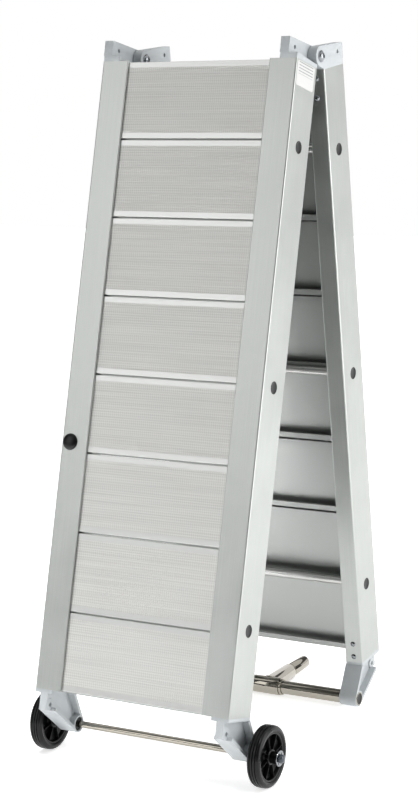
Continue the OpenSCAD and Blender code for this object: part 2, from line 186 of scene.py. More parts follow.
# %% Anodised extrusion
DIE_LINE = 1.0 * MM
STRETCH = 0.004                      # the noise changes this much more slowly along the rail
CLOUDS_PER_METRE = 9.0
RAILS = {}
for half, matrix in HALVES.items():
    RAILS[half], tree, shader = start("anodised_extrusion_" + half, "#D2D3D2", 1, 0.36)
    place = add(tree, "ShaderNodeTexCoord").outputs["Object"]
    along = add(tree, "ShaderNodeMapping", {"Vector": place, **local_mapping(matrix)})
    squeezed = add(tree, "ShaderNodeMapping",
                   {"Vector": along.outputs["Vector"], "Scale": (1, 1, STRETCH)})
    lines = add(tree, "ShaderNodeTexNoise", {"Vector": squeezed.outputs["Vector"],
                "Scale": 1 / DIE_LINE, "Detail": 3.0, "Roughness": 0.6})
    cloud = add(tree, "ShaderNodeTexNoise", {"Vector": along.outputs["Vector"],
                "Scale": CLOUDS_PER_METRE, "Detail": 4.0, "Roughness": 0.55})
    both = add(tree, "ShaderNodeMath", {0: lines.outputs["Fac"], 1: cloud.outputs["Fac"]})
    tone = add(tree, "ShaderNodeMapRange", {"Value": both.outputs[0], "From Min": 0.7,
               "From Max": 1.3, "To Min": 0.0, "To Max": 1.0})
    colour = add(tree, "ShaderNodeValToRGB", {"Fac": tone.outputs["Result"]})
    colour.color_ramp.elements[0].color = linear("#B2B5B2")
    colour.color_ramp.elements[1].color = linear("#C0C3C0")
    tree.links.new(colour.outputs["Color"], shader.inputs["Base Color"])
    satin = add(tree, "ShaderNodeMapRange", {"Value": both.outputs[0], "From Min": 0.6,
                "From Max": 1.4, "To Min": 0.32, "To Max": 0.44})
    tree.links.new(satin.outputs["Result"], shader.inputs["Roughness"])
    relief = add(tree, "ShaderNodeBump", {"Height": lines.outputs["Fac"], "Strength": 0.06,
                 "Distance": 0.05 * MM})
    tree.links.new(relief.outputs["Normal"], shader.inputs["Normal"])
print("rail finishes:", [m.name for m in RAILS.values()])

# %% [markdown]
# ## Where a plank is ribbed
#
# The planks are extruded with their ribs running across the gangway, and a plain border
# along each edge. A mask tells the ribbed field from the rest. It could be painted on a UV
# map, but the planks repeat at one pitch, so the distance down the rail, taken modulo that
# pitch, says where on its plank any point lies. That stays exact if a plank changes.

# %% Mask of the ribbed field
PLANK_PITCH, PLANK_GAP, PLANK_BORDER = RAIL_LENGTH / 8, 3 * MM, 10 * MM
FIELD_HALF = PLANK_PITCH / 2 - PLANK_GAP / 2 - PLANK_BORDER
TREAD_SKIN = 7 * MM                  # what lies deeper than this is the underside


def from_plank_middle(tree, axes):
    """Signed distance down the rail from the middle of the plank that a point is on."""
    fall = add(tree, "ShaderNodeMath", {0: axes.outputs["Z"], 1: -1.0}, operation="MULTIPLY")
    step = add(tree, "ShaderNodeMath", {0: fall.outputs[0], 1: PLANK_PITCH},
               operation="FLOORED_MODULO")
    return add(tree, "ShaderNodeMath", {0: step.outputs[0], 1: PLANK_PITCH / 2},
               operation="SUBTRACT")


def plank_masks(tree, axes, middle):
    """Two masks: the walking side, and the ribbed field on it."""
    off_middle = add(tree, "ShaderNodeMath", {0: middle.outputs[0]}, operation="ABSOLUTE")
    ribbed = add(tree, "ShaderNodeMath", {0: off_middle.outputs[0], 1: FIELD_HALF},
                 operation="LESS_THAN")
    tread_side = add(tree, "ShaderNodeMath", {0: axes.outputs["Y"], 1: TREAD_SKIN},
                     operation="LESS_THAN")
    field = add(tree, "ShaderNodeMath", {0: ribbed.outputs[0], 1: tread_side.outputs[0]},
                operation="MULTIPLY")
    return tread_side, field


print("ribbed field,", round(2 * FIELD_HALF / MM, 1), "mm of each", PLANK_PITCH / MM, "mm")

# %% [markdown]
# ## Anodised tread
#
# A second tool knurls the ribs lightly, so the tread shows a fine cross grid while its
# borders stay smooth. The teeth are about 2 mm apart and drawn 4 mm apart, and the ribs
# are drawn 4.4 mm apart, because finer ones would not show. The ribs and the grid are drawn
# as lighter and darker stripes in the colour, a painted shade of their relief, and the grid
# bumps the metal a little too. Knurled metal scatters more, so the ribbed field is rougher
# too. The underside, which faces into the A between the halves, has a darker colour: painted
# shade.

# %% Tread finish
KNURL, RIB_DRAWN = 4.0 * MM, 4.4 * MM
TREAD_LINE = 2 * MM
# The underside colour is darker than the border's: painted shade on the faces inside the A.
BORDER, UNDERSIDE_PAINTED_SHADE = "#D0D1CF", "#ACAEAC"
TREADS = {}
for half, matrix in HALVES.items():
    TREADS[half], tree, shader = start("anodised_tread_" + half, "#C6C6C5", 1, 0.42)
    place = add(tree, "ShaderNodeTexCoord").outputs["Object"]
    local = add(tree, "ShaderNodeMapping", {"Vector": place, **local_mapping(matrix)})
    axes = add(tree, "ShaderNodeSeparateXYZ", {"Vector": local.outputs["Vector"]})
    middle = from_plank_middle(tree, axes)
    tread_side, mask = plank_masks(tree, axes, middle)
    across = add(tree, "ShaderNodeMath", {0: axes.outputs["X"], 1: 2 * pi / KNURL},
                 operation="MULTIPLY")
    wave = add(tree, "ShaderNodeMath", {0: across.outputs[0]}, operation="SINE")
    teeth = add(tree, "ShaderNodeMath", {0: wave.outputs[0], 1: mask.outputs[0]},
                operation="MULTIPLY")
    rib = add(tree, "ShaderNodeMath", {0: middle.outputs[0], 1: 2 * pi / RIB_DRAWN},
              operation="MULTIPLY")
    painted_rib_shade = add(tree, "ShaderNodeMath", {0: rib.outputs[0]}, operation="SINE")
    squeezed = add(tree, "ShaderNodeMapping",
                   {"Vector": local.outputs["Vector"], "Scale": (0.01, 1, 1)})
    lines = add(tree, "ShaderNodeTexNoise", {"Vector": squeezed.outputs["Vector"],
                "Scale": 1 / TREAD_LINE, "Detail": 3.0})
    grain = add(tree, "ShaderNodeMath", {0: lines.outputs["Fac"], 1: 0.8}, operation="MULTIPLY")
    height = add(tree, "ShaderNodeMath", {0: teeth.outputs[0], 1: 0.12, 2: grain.outputs[0]},
                 operation="MULTIPLY_ADD")
    # Stripes at the rib pitch and at the knurl teeth are added to the grain lines' own tone: the
    # stripes are painted shade of the relief.
    relief_shade_and_grain = add(tree, "ShaderNodeMath", {0: painted_rib_shade.outputs[0], 1: 0.10, 2: height.outputs[0]},
               operation="MULTIPLY_ADD")
    field = add(tree, "ShaderNodeValToRGB", {"Fac": relief_shade_and_grain.outputs[0]})
    field.color_ramp.elements[0].position = 0.2
    field.color_ramp.elements[0].color = linear("#CDCDCA")
    field.color_ramp.elements[1].position = 0.62
    field.color_ramp.elements[1].color = linear("#E2E2DF")
    # Plain colour: the border's on the walking side, and a darker painted shade underneath.
    smooth = add(tree, "ShaderNodeValToRGB", {"Fac": tread_side.outputs[0]})
    smooth.color_ramp.elements[0].color = linear(UNDERSIDE_PAINTED_SHADE)
    smooth.color_ramp.elements[1].color = linear(BORDER)
    colour = add(tree, "ShaderNodeMix", {"Factor": mask.outputs[0]}, data_type="RGBA")
    plain, ribbed_colour = [x for x in colour.inputs if x.type == "RGBA"]
    tree.links.new(smooth.outputs["Color"], plain)
    tree.links.new(field.outputs["Color"], ribbed_colour)
    mixed = [x for x in colour.outputs if x.type == "RGBA"][0]
    tree.links.new(mixed, shader.inputs["Base Color"])
    rough = add(tree, "ShaderNodeMath", {0: mask.outputs[0], 1: 0.22, 2: 0.33},
                operation="MULTIPLY_ADD")
    satin = add(tree, "ShaderNodeMath", {0: lines.outputs["Fac"], 1: 0.08, 2: rough.outputs[0]},
                operation="MULTIPLY_ADD")
    tree.links.new(satin.outputs[0], shader.inputs["Roughness"])
    relief = add(tree, "ShaderNodeBump", {"Height": height.outputs[0], "Strength": 0.25,
                 "Distance": 0.2 * MM})
    tree.links.new(relief.outputs["Normal"], shader.inputs["Normal"])
print("tread finishes:", [m.name for m in TREADS.values()])

# %% [markdown]
# ## Painted castings
#
# The hinges and brackets are sand-cast aluminium under light blue-grey enamel. The paint
# is smooth and half glossy, but the casting's skin swells under it, and paint pools leave
# a slight orange peel about 2 mm across.

# %% Enamelled casting
PEEL, SWELL = 2.0 * MM, 14.0 * MM
CASTING, tree, shader = start("enamel_on_cast_aluminium", "#B6BBBE", 0, 0.34, IOR=1.5)
place = add(tree, "ShaderNodeTexCoord").outputs["Object"]
peel = add(tree, "ShaderNodeTexNoise", {"Vector": place, "Scale": 1 / PEEL, "Detail": 2.0})
swell = add(tree, "ShaderNodeTexNoise", {"Vector": place, "Scale": 1 / SWELL, "Detail": 2.0})
colour = add(tree, "ShaderNodeValToRGB", {"Fac": swell.outputs["Fac"]})
colour.color_ramp.elements[0].color = linear("#B1B6B9")
colour.color_ramp.elements[1].color = linear("#BBC0C2")
tree.links.new(colour.outputs["Color"], shader.inputs["Base Color"])
height = add(tree, "ShaderNodeMath", {0: swell.outputs["Fac"], 1: 2.0, 2: peel.outputs["Fac"]},
             operation="MULTIPLY_ADD")
relief = add(tree, "ShaderNodeBump", {"Height": height.outputs[0], "Strength": 0.35,
             "Distance": 0.12 * MM})
tree.links.new(relief.outputs["Normal"], shader.inputs["Normal"])
gloss = add(tree, "ShaderNodeMapRange", {"Value": peel.outputs["Fac"], "From Min": 0.3,
            "From Max": 0.7, "To Min": 0.28, "To Max": 0.42})
tree.links.new(gloss.outputs["Result"], shader.inputs["Roughness"])
print("casting finish:", CASTING.name)

# %% [markdown]
# ## Stainless steel, bright zinc and drawn aluminium
#
# The axle, cross tube and deck pin are stainless tube polished on a lathe, so their fine
# lines run round them: noise that changes fast along X and slowly round it. The screws and
# push-on washers are bright plated. The tie tubes between the rails are aluminium, drawn
# and left satin.

# %% Round bright metals
METALS = {}
LATHE_LINE = 1.2 * MM
for name, colour, rough, spread, squeeze in (
    ("polished_stainless", "#A8A399", 0.06, 0.04, (1, 0.02, 0.02)),
    ("bright_zinc_plate", "#8F9295", 0.18, 0.10, (1, 1, 1)),
    ("drawn_aluminium", "#D2D2D0", 0.30, 0.10, (0.02, 1, 1)),
):
    METALS[name], tree, shader = start(name, colour, 1, rough)
    place = add(tree, "ShaderNodeTexCoord").outputs["Object"]
    squeezed = add(tree, "ShaderNodeMapping", {"Vector": place, "Scale": squeeze})
    lines = add(tree, "ShaderNodeTexNoise", {"Vector": squeezed.outputs["Vector"],
                "Scale": 1 / LATHE_LINE, "Detail": 3.0})
    sheen = add(tree, "ShaderNodeMapRange", {"Value": lines.outputs["Fac"], "From Min": 0.3,
                "From Max": 0.7, "To Min": rough - spread / 2, "To Max": rough + spread / 2})
    tree.links.new(sheen.outputs["Result"], shader.inputs["Roughness"])
    relief = add(tree, "ShaderNodeBump", {"Height": lines.outputs["Fac"], "Strength": 0.03,
                 "Distance": 0.03 * MM})
    tree.links.new(relief.outputs["Normal"], shader.inputs["Normal"])
print("bright metals:", list(METALS))

# %% [markdown]
# ## Plastics and rubber
#
# The wheel centres and the hole plugs are moulded black nylon with a fine spark-eroded
# grain. The axle caps are glossy slate-coloured ABS. The tyres are vulcanised rubber, which
# is nearly black with a soft sheen. With so much bright ground around, the usual specular
# level turned the two black materials grey, so theirs is lowered. Slow noise varies
# the tone and the sheen, and fine noise gives the grain.

# %% Moulded pieces
MOULDED = {}
BLOOMS_PER_METRE = 60.0
for name, dark, light, rough, ior, specular, grain, depth in (
    ("moulded_black_nylon", "#060607", "#0C0C0D", 0.32, 1.45, 0.35, 0.8 * MM, 0.04 * MM),
    ("glossy_slate_abs", "#343B44", "#3F4751", 0.16, 1.54, 0.5, 3.0 * MM, 0.01 * MM),
    ("vulcanised_rubber", "#060607", "#0F0F10", 0.30, 1.42, 0.35, 1.4 * MM, 0.06 * MM),
):
    MOULDED[name], tree, shader = start(name, dark, 0, rough, IOR=ior,
                                        **{"Specular IOR Level": specular})
    place = add(tree, "ShaderNodeTexCoord").outputs["Object"]
    fine = add(tree, "ShaderNodeTexNoise", {"Vector": place, "Scale": 1 / grain, "Detail": 2.0})
    bloom = add(tree, "ShaderNodeTexNoise", {"Vector": place, "Scale": BLOOMS_PER_METRE,
                "Detail": 3.0})
    colour = add(tree, "ShaderNodeValToRGB", {"Fac": bloom.outputs["Fac"]})
    colour.color_ramp.elements[0].color = linear(dark)
    colour.color_ramp.elements[1].color = linear(light)
    tree.links.new(colour.outputs["Color"], shader.inputs["Base Color"])
    sheen = add(tree, "ShaderNodeMapRange", {"Value": bloom.outputs["Fac"], "From Min": 0.3,
                "From Max": 0.7, "To Min": rough - 0.05, "To Max": rough + 0.07})
    tree.links.new(sheen.outputs["Result"], shader.inputs["Roughness"])
    relief = add(tree, "ShaderNodeBump", {"Height": fine.outputs["Fac"], "Strength": 0.3,
                 "Distance": depth})
    tree.links.new(relief.outputs["Normal"], shader.inputs["Normal"])
NYLON, SLATE, RUBBER = MOULDED.values()
print("moulded:", list(MOULDED))

# %% [markdown]
# ## Blank rating plate
#
# A white vinyl plate sits at the top of the right front rail. It stays blank but for a few
# plain grey rules: no words are drawn. The rules could be an image, but a modulo of the
# height repeats one line at a fixed pitch, and two limits keep them to the upper block.

# %% Vinyl plate
VINYL, GREY_INK = "#CDCDCB", "#8B8E90"
RULE_PITCH, RULE_THICK = 5 * MM, 1.6 * MM
RULES_MIDDLE, RULES_HALF, RULES_END = 36 * MM, 26 * MM, 24 * MM
PLATE, tree, shader = start("printed_white_vinyl", VINYL, 0, 0.35, IOR=1.46)
place = add(tree, "ShaderNodeTexCoord").outputs["Object"]
local = add(tree, "ShaderNodeMapping", {"Vector": place, **local_mapping(FRONT)})
axes = add(tree, "ShaderNodeSeparateXYZ", {"Vector": local.outputs["Vector"]})
lane = add(tree, "ShaderNodeMath", {0: axes.outputs["Z"], 1: RULE_PITCH},
           operation="FLOORED_MODULO")
thin = add(tree, "ShaderNodeMath", {0: lane.outputs[0], 1: RULE_THICK}, operation="LESS_THAN")
from_middle = add(tree, "ShaderNodeMath", {0: axes.outputs["Y"], 1: RULES_MIDDLE},
                  operation="SUBTRACT")
reach = add(tree, "ShaderNodeMath", {0: from_middle.outputs[0]}, operation="ABSOLUTE")
inside = add(tree, "ShaderNodeMath", {0: reach.outputs[0], 1: RULES_HALF}, operation="LESS_THAN")
upper = add(tree, "ShaderNodeMath", {0: axes.outputs["Z"], 1: -RULES_END},
            operation="GREATER_THAN")
block = add(tree, "ShaderNodeMath", {0: inside.outputs[0], 1: upper.outputs[0]},
            operation="MULTIPLY")
rule = add(tree, "ShaderNodeMath", {0: thin.outputs[0], 1: block.outputs[0]},
           operation="MULTIPLY")
ink = add(tree, "ShaderNodeMix", {"Factor": rule.outputs[0]}, data_type="RGBA")
vinyl, printed = [x for x in ink.inputs if x.type == "RGBA"]
vinyl.default_value = linear(VINYL)
printed.default_value = linear(GREY_INK)
tree.links.new([x for x in ink.outputs if x.type == "RGBA"][0], shader.inputs["Base Color"])
print("plate finish:", PLATE.name)

# %% [markdown]
# ## Finishes for the CAD nodes
#
# The record says which slot each node belongs to. Every node gets its slot's finish here,
# whether or not a finer piece replaces it later.

# %% Give every CAD node its finish
FINISH = {"painted_castings": CASTING, "stainless": METALS["polished_stainless"],
          "fasteners": METALS["bright_zinc_plate"], "tie_tubes": METALS["drawn_aluminium"],
          "black_plastic": NYLON, "dark_caps": SLATE, "tyres": RUBBER, "plate": PLATE}
SLOT = {s["node"]: s["material_slot"] for s in record["subparts"]}
BODY = {n: b for b, members in record["behaviour"]["bodies"].items() for n in members}


def finish_of(node):
    half = "rear" if node.startswith("rear") else "front"
    if SLOT[node] == "rails":
        return RAILS[half]
    return TREADS[half] if SLOT[node] == "deck_planks" else FINISH[SLOT[node]]


def wear(piece, material):
    piece.data.materials.clear()
    piece.data.materials.append(material)


for name, piece in nodes.items():
    wear(piece, finish_of(name))
print(len(nodes), "CAD nodes have a finish")

# %% [markdown]
# ## Selecting
#
# An operator works on whatever is selected, so each step first selects nothing but its own
# piece. Faces and edges are then chosen by place or normal, which a reader can check
# against the shape, where a list of index numbers would say nothing.

# %% Selecting helpers
ops = bpy.ops


def only(piece):
    ops.object.select_all(action="DESELECT")
    piece.select_set(True)
    bpy.context.view_layer.objects.active = piece


def pick(piece, mode, test):
    """In edit mode: selects the verts, edges or faces whose middle passes the test."""
    ops.mesh.select_mode(type=mode)
    ops.mesh.select_all(action="DESELECT")
    made = bmesh.from_edit_mesh(piece.data)
    parts = {"VERT": made.verts, "EDGE": made.edges, "FACE": made.faces}[mode]
    for part in parts:
        points = [part.co] if mode == "VERT" else [v.co for v in part.verts]
        if test(sum(points, Vector()) / len(points), part):
            part.select_set(True)
    bmesh.update_edit_mesh(piece.data)


# %% [markdown]
# ## Placing and finishing
#
# A finished piece is turned to its place and the turn is applied, which leaves its object
# at the origin with its place in its mesh. Modifiers are applied too. Each piece then rides
# on the body of the CAD node that it stands for, and takes the finish of that node's slot.

# %% Placing and finishing helpers


def settle(piece, matrix=Matrix(), smooth=35):
    """Turns a piece to its place, applies that, and shades it smooth up to an angle."""
    only(piece)
    piece.matrix_world = matrix @ piece.matrix_world
    ops.object.transform_apply(location=True, rotation=True, scale=True)
    ops.object.shade_smooth_by_angle(angle=radians(smooth))
    return piece


def apply(piece, kind, **settings):
    only(piece)
    modifier = piece.modifiers.new(kind.lower(), kind)
    for name, value in settings.items():
        setattr(modifier, name, value)
    ops.object.modifier_apply(modifier=modifier.name)


def stands_for(piece, *names):
    """Rides on the body of the nodes it replaces, and takes the finish of their slot."""
    first = names[0]
    wear(piece, finish_of(first))
    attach(piece, BODY[first])
    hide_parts(*names)
    print(piece.name, len(piece.data.polygons), "faces, rides on", BODY[first])


def second(piece, name):
    """The same piece again, with its own mesh."""
    only(piece)
    ops.object.duplicate()
    copy = bpy.context.object
    copy.name = copy.data.name = name
    return copy


# %% [markdown]
# ## Lathe work
#
# Tyres, rims, caps and plugs are all round. A cylinder could be bevelled again and again,
# but an outline spun about its axis says the shape in one go. The outline starts as a plane
# merged to a single point, which is then extruded from corner to corner. Extruding a lone
# point needs vertex select mode, so that is set first.

# %% Lathe helper


def turned(name, outline, steps=64):
    """Lathe work about X: (radius, along) points in mm, drawn vertex by vertex, then spun."""
    points = [Vector((along, 0, radius)) * MM for radius, along in outline]
    ops.object.select_all(action="DESELECT")
    ops.mesh.primitive_plane_add(size=0.001, location=points[0])
    piece = bpy.context.object
    piece.name = piece.data.name = name
    ops.object.mode_set(mode="EDIT")
    ops.mesh.select_mode(type="VERT")
    ops.mesh.select_all(action="SELECT")
    ops.mesh.merge(type="CENTER")
    for here, there in zip(points, points[1:]):
        ops.mesh.extrude_region_move(TRANSFORM_OT_translate={"value": there - here})
    ops.mesh.select_all(action="SELECT")
    ops.mesh.spin(steps=steps, angle=2 * pi, center=(0, 0, 0), axis=(1, 0, 0))
    ops.mesh.select_all(action="SELECT")
    ops.mesh.remove_doubles(threshold=1e-6)
    ops.mesh.delete_loose(use_verts=True, use_edges=True, use_faces=False)
    ops.mesh.select_all(action="SELECT")
    ops.mesh.normals_make_consistent(inside=False)
    ops.object.mode_set(mode="OBJECT")
    return settle(piece)


# %% [markdown]
# ## Softening an exact solid
#
# A CAD node is loose triangles with sharp edges. Its own mesh stays as it is. A copy is
# merged, its flat triangles are dissolved to whole faces, and a bevel rounds the edges that
# are left. The copy's own split normals would hide the bevel, so they are cleared.

# %% Softening helper


def softened(name, node, width, segments=2, angle=40):
    """A merged copy of a CAD node with its sharp edges rounded."""
    only(nodes[node])
    ops.object.duplicate()
    piece = bpy.context.object
    piece.name = piece.data.name = name
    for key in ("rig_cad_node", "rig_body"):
        if key in piece:
            del piece[key]
    piece.parent = None
    ops.mesh.customdata_custom_splitnormals_clear()
    ops.object.mode_set(mode="EDIT")
    ops.mesh.select_all(action="SELECT")
    ops.mesh.remove_doubles(threshold=2e-6)
    ops.mesh.dissolve_limited(angle_limit=radians(0.5))
    ops.object.mode_set(mode="OBJECT")
    apply(piece, "BEVEL", width=width, segments=segments, limit_method="ANGLE",
          angle_limit=radians(angle), use_clamp_overlap=True)
    settle(piece)
    stands_for(piece, node)
    return piece


# %% [markdown]
# ## Castings with soft edges
#
# Sand castings never have a sharp edge: each is rounded by the pattern and again by the
# paint. The exact solid has the right form but for that, so softening a copy is far surer
# than modelling the shape again.

# %% Hinges and brackets
CASTINGS = ("front_hinge_left", "front_hinge_right", "rear_hinge_left", "rear_hinge_right",
            "wheel_bracket_left", "wheel_bracket_right", "foot_bracket_left", "foot_bracket_right")
for node in CASTINGS:
    softened(node + "_cast", node, 1.1 * MM, segments=3)

# %% [markdown]
# ## Screws, bolts and bright hardware
#
# Button heads, washers and the swivel's sleeve are machined, with small broken edges that
# catch a thin bright line. The same copy and bevel serve, with a finer bevel. The axle and
# the cross tube get it too, because it also shades their round sides smooth, and polished
# steel shows every facet.

# %% Machined hardware
for node, width in (("front_casting_screws", 0.25), ("rear_casting_screws", 0.25),
                    ("hinge_bolts", 0.3), ("axle_washers", 0.3), ("stop_rings", 0.5),
                    ("swivel_sleeve", 0.6), ("deck_pin", 0.3), ("wheel_axle", 0.3),
                    ("cross_tube", 0.3)):
    softened(node + "_machined", node, width * MM)

# %% [markdown]
# ## Tyres
#
# Each tyre is a moulded ring with three grooves round its tread, rounded shoulders and a
# raised ring on each side wall. One outline spun about the axle gives all of it. The
# outline is drawn for one side and mirrored, and the second tyre is a copy.

# %% Tyres
AXLE = JOINT["right_wheel_spin"]
half_tyre = [(42.0, 9.0), (42.4, 10.6), (43.4, 11.5), (44.6, 11.7), (45.1, 12.0), (46.8, 12.0),
             (47.3, 11.6), (48.6, 11.5), (50.2, 10.9), (51.6, 9.7), (52.5, 8.1), (52.8, 6.5),
             (52.8, 6.1), (52.3, 5.9), (51.4, 5.5), (51.2, 5.0), (51.4, 4.5), (52.3, 4.1),
             (52.9, 3.9), (53.0, 2.5), (52.9, 1.1), (52.4, 0.9), (51.5, 0.5), (51.3, 0.0)]
outline = half_tyre + [(r, -x) for r, x in reversed(half_tyre[:-1])] + [half_tyre[0]]
tyre = turned("tyre_right_ring", outline, steps=96)
other = second(tyre, "tyre_left_ring")
settle(tyre, Matrix.Translation(AXLE))
settle(other, Matrix.Translation(JOINT["left_wheel_spin"]))
stands_for(tyre, "tyre_right")
stands_for(other, "tyre_left")

# %% [markdown]
# ## Wheel centres
#
# The centre is one nylon moulding: a rim that holds the tyre, a thin dished web, a long hub
# and eight thin ribs on each side. All but the ribs is round, so that is turned first.

# %% Turned part of a wheel centre
BORE = 6.05
HUB_END = 23.5
half_rim = [(BORE, HUB_END - 0.6), (BORE + 0.6, HUB_END), (9.9, HUB_END), (10.5, HUB_END - 0.6),
            (10.6, 10.6), (12.4, 10.2), (13.2, 9.4), (13.5, 3.0), (14.5, 1.8), (36.0, 1.5),
            (37.6, 2.4), (38.2, 4.0), (38.5, 8.6), (39.0, 9.7), (40.0, 10.1), (41.6, 10.1),
            (42.0, 9.6)]
outline = half_rim + [(r, -x) for r, x in reversed(half_rim)] + [half_rim[0]]
rim = turned("rim_right_moulding", outline, steps=96)
print("turned centre:", len(rim.data.polygons), "faces")

# %% [markdown]
# A moulded rib needs draft, so that it leaves its mould: it is thicker at the web than at
# its edge. One rib is a block whose outer face is narrowed and whose outer edges are
# rounded. It runs from hub to rim, and its ends are buried in both.

# %% One rib
RIB_THICK, RIB_LONG, RIB_DEEP = 1.4 * MM, 26 * MM, 8 * MM
RIB_OUT, RIB_MIDDLE, RIB_DRAFT = 5.2 * MM, 25.6 * MM, 0.6
ops.object.select_all(action="DESELECT")
ops.mesh.primitive_cube_add(size=1, location=(RIB_OUT, 0, RIB_MIDDLE),
                            scale=(RIB_DEEP, RIB_THICK, RIB_LONG))
rib = bpy.context.object
ops.object.transform_apply(location=True, rotation=True, scale=True)
ops.object.mode_set(mode="EDIT")
pick(rib, "FACE", lambda at, face: face.normal.x > 0.9)
ops.transform.resize(value=(1, RIB_DRAFT, 1), orient_type="GLOBAL")
pick(rib, "EDGE", lambda at, edge: at.x > 9 * MM and abs(at.y) > 0.2 * MM)
ops.mesh.bevel(offset=0.25 * MM, segments=2)
ops.object.mode_set(mode="OBJECT")
print("one rib:", len(rib.data.polygons), "faces")

# %% [markdown]
# The rib is copied round the hub on both sides, and all of it is joined to one moulding. The
# left wheel is a copy of the right one.

# %% Both wheel centres
RIBS = 8
FIRST_RIB_TURN = radians(12)
ribs = [rib]
for side in (0, 1):
    for i in range(RIBS):
        if side == 0 and i == 0:
            continue
        copy = second(rib, "rib")
        settle(copy, Matrix.Rotation(2 * pi * i / RIBS, 4, "X") @ Matrix.Rotation(side * pi, 4, "Z"))
        ribs.append(copy)
only(rim)
for piece in ribs:
    piece.select_set(True)
ops.object.join()
settle(rim, Matrix.Rotation(FIRST_RIB_TURN, 4, "X"))
other = second(rim, "rim_left_moulding")
settle(rim, Matrix.Translation(AXLE))
settle(other, Matrix.Translation(JOINT["left_wheel_spin"]))
stands_for(rim, "rim_right")
stands_for(other, "rim_left")

# %% [markdown]
# ## Caps and plugs
#
# The axle caps, the black plugs in the rails' holes, the stanchion hole's plug and the
# stoppers in the cross tube are all small turned shapes. Each is one outline, spun, and
# placed wherever the CAD has it.

# %% Axle caps
CAP_DEEP = 8 * MM
CAP_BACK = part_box("axle_caps")[1].x - CAP_DEEP
cap = turned("axle_cap_right", [(6.0, 5.4), (6.0, 0.0), (6.9, 0.0), (7.2, 0.3), (7.2, 4.6),
             (6.95, 5.5), (6.3, 6.3), (5.2, 7.0), (3.6, 7.6), (1.8, 7.95), (0.0, 8.0)], 48)
lid = turned("axle_cap_lid", [(6.0, 5.4), (0.0, 5.4)], 48)
only(cap)
lid.select_set(True)
ops.object.join()
ops.object.mode_set(mode="EDIT")
ops.mesh.select_all(action="SELECT")
ops.mesh.remove_doubles(threshold=1e-6)
ops.mesh.normals_make_consistent(inside=False)
ops.object.mode_set(mode="OBJECT")
caps = [cap, second(cap, "axle_cap_left")]
for piece, turn, x in zip(caps, (0, pi), (CAP_BACK, -CAP_BACK)):
    settle(piece, Matrix.Translation((x, AXLE.y, AXLE.z)) @ Matrix.Rotation(turn, 4, "Z"))
    stands_for(piece, "axle_caps")

# %% [markdown]
# The rail plugs are pushed into the access holes from outside, and stand 0.4 mm proud with
# a shallow dish in the middle. All twelve are the same.

# %% Rail plugs
ACCESS_AT, ACCESS_DEPTH = (144 * MM, 550 * MM, 956 * MM), 38.5 * MM
plug = turned("rail_plug", [(0.0, -1.4), (0.0, -0.5), (7.2, -0.5), (8.4, -0.25), (9.2, 0.25),
              (10.2, 0.4), (10.8, 0.25), (10.95, -0.2), (10.95, -3.0), (10.2, -3.1), (10.2, -8.0),
              (8.5, -8.0), (8.5, -1.6), (0.0, -1.4)], 40)
for half, matrix in HALVES.items():
    copies = []
    for fall in ACCESS_AT:
        for turn, x in ((0, HALF_WIDTH), (pi, -HALF_WIDTH)):
            copy = second(plug, "plug")
            settle(copy, matrix @ Matrix.Translation((x, ACCESS_DEPTH, -fall))
                   @ Matrix.Rotation(turn, 4, "Z"))
            copies.append(copy)
    only(copies[0])
    for piece in copies[1:]:
        piece.select_set(True)
    ops.object.join()
    copies[0].name = copies[0].data.name = half + "_access_plugs"
    stands_for(copies[0], half + "_rail_plugs")
bpy.data.objects.remove(plug)

# %% [markdown]
# The stanchion hole in the left rail's tread face has a domed plug with a flange. The cross
# tube's ends have stoppers with a raised rim. Both are pushed in, so both are one outline
# with a skirt inside and a visible end outside.

# %% Stanchion plug and tube stoppers
STANCHION_FALL = 671 * MM
plug = turned("stanchion_hole_plug", [(0.0, -16.0), (10.3, -16.0), (10.95, -15.0), (10.95, 0.0),
              (14.2, 0.0), (14.5, 0.4), (14.5, 1.0), (14.1, 1.7), (13.0, 2.5), (11.0, 3.4),
              (8.2, 4.3), (5.0, 4.8), (2.4, 4.95), (0.0, 5.0)], 56)
settle(plug, FRONT @ Matrix.Translation((BOX_WIDTH / 2 - HALF_WIDTH, 0, -STANCHION_FALL))
       @ Matrix.Rotation(-pi / 2, 4, "Z"))
stands_for(plug, "stanchion_plug")
TUBE = JOINT["swivel_turn"]
stopper = turned("tube_stopper_right", [(0.0, -12.0), (10.5, -12.0), (10.5, 0.6), (10.2, 1.1),
                 (9.4, 1.2), (8.6, 0.9), (7.8, 0.2), (0.0, 0.0)], 48)
stoppers = [stopper, second(stopper, "tube_stopper_left")]
for piece, turn, x in zip(stoppers, (0, pi), (HALF_WIDTH, -HALF_WIDTH)):
    settle(piece, Matrix.Translation((x, TUBE.y, TUBE.z)) @ Matrix.Rotation(turn, 4, "Z"))
    stands_for(piece, "tube_caps")

# %% [markdown]
# ## Rating plate
#
# A thin vinyl sheet with rounded corners: a block at its size, with its four short corner
# edges bevelled to a 4 mm radius and its outer rim broken.

# %% Rating plate
PLATE_DEPTH, PLATE_LENGTH, PLATE_THICK, PLATE_FALL = 64 * MM, 42 * MM, 0.4 * MM, 2 * MM
ops.object.select_all(action="DESELECT")
ops.mesh.primitive_cube_add(size=1, scale=(PLATE_THICK, PLATE_DEPTH, PLATE_LENGTH),
                            location=(HALF_WIDTH + PLATE_THICK / 2, 4 * MM + PLATE_DEPTH / 2,
                                      -PLATE_FALL - PLATE_LENGTH / 2))
plate = bpy.context.object
plate.name = plate.data.name = "rating_plate"
ops.object.transform_apply(location=True, rotation=True, scale=True)
ops.object.mode_set(mode="EDIT")
pick(plate, "EDGE", lambda at, edge: abs((edge.verts[0].co - edge.verts[1].co).x) > PLATE_THICK / 2)
ops.mesh.bevel(offset=4 * MM, segments=6)
pick(plate, "FACE", lambda at, face: face.normal.x > 0.9)
ops.mesh.bevel(offset=0.15 * MM, segments=1)
ops.object.mode_set(mode="OBJECT")
settle(plate, FRONT)
stands_for(plate, "maker_plate")
